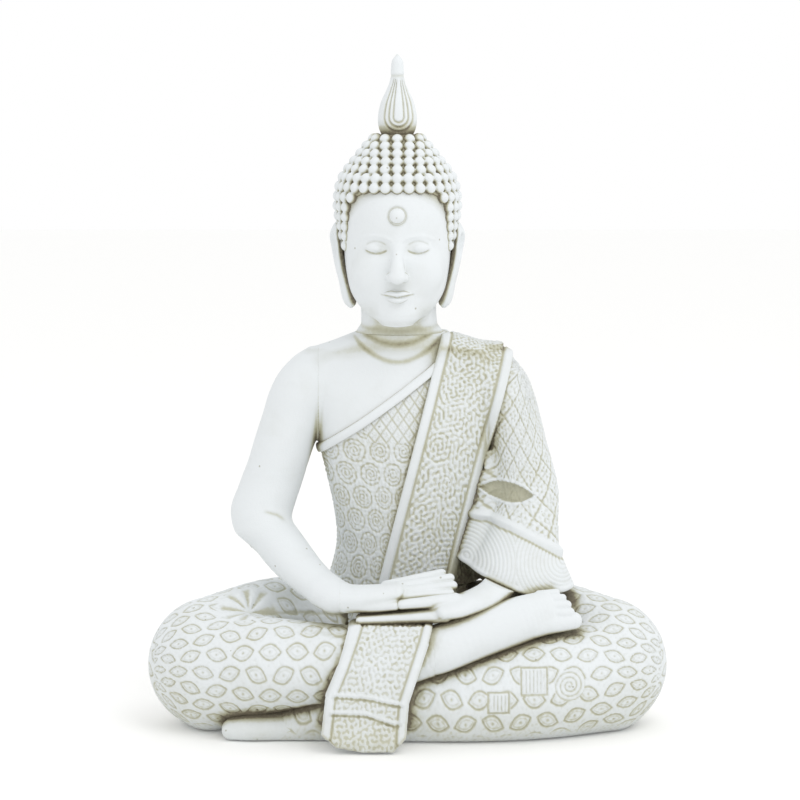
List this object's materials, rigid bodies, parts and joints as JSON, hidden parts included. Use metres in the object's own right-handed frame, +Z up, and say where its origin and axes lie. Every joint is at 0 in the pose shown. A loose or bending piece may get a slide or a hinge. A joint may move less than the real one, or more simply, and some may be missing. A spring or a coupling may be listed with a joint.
{
  "type": "buddha statue",
  "caption": "Seated figure in half lotus with hands in the lap, robe and sash over one shoulder, curled hair and flame finial, cast in pale stone.",
  "frame": {"origin": "under the middle of the bounding box, on the surface that the statue stands on", "axes": "+Z up, the figure faces -Y, its right side is at -X"},
  "size_m": [0.3874, 0.2097, 0.5],
  "materials": {
    "cast_stone": "matt cast stone, white with an olive wash in the recesses",
    "plate_board": "matt",
    "steel": "plain",
    "foot_rubber": "matt"
  },
  "bodies": {
    "root": {"left_leg": "cast_stone", "right_leg": "cast_stone", "seat": "cast_stone", "left_foot": "cast_stone", "right_foot": "cast_stone", "torso": "cast_stone", "sash_front": "cast_stone", "sash_back": "cast_stone", "robe_border": "cast_stone", "right_arm": "cast_stone", "right_hand": "cast_stone", "left_hand": "cast_stone", "left_sleeve": "cast_stone", "sash_tail": "cast_stone", "head": "cast_stone", "hair_cap": "cast_stone", "right_ear": "cast_stone", "left_ear": "cast_stone", "flame_finial": "cast_stone", "urna": "cast_stone", "base_plate": "plate_board", "base_screws": "steel", "rubber_feet": "foot_rubber", "neck_dowel": "steel", "finial_dowel": "steel", "foot_dowel": "steel", "wrist_dowel": "steel", "shoulder_dowels": "steel", "waist_dowels": "steel", "hip_dowels": "steel"}
  },
  "joints": []
}
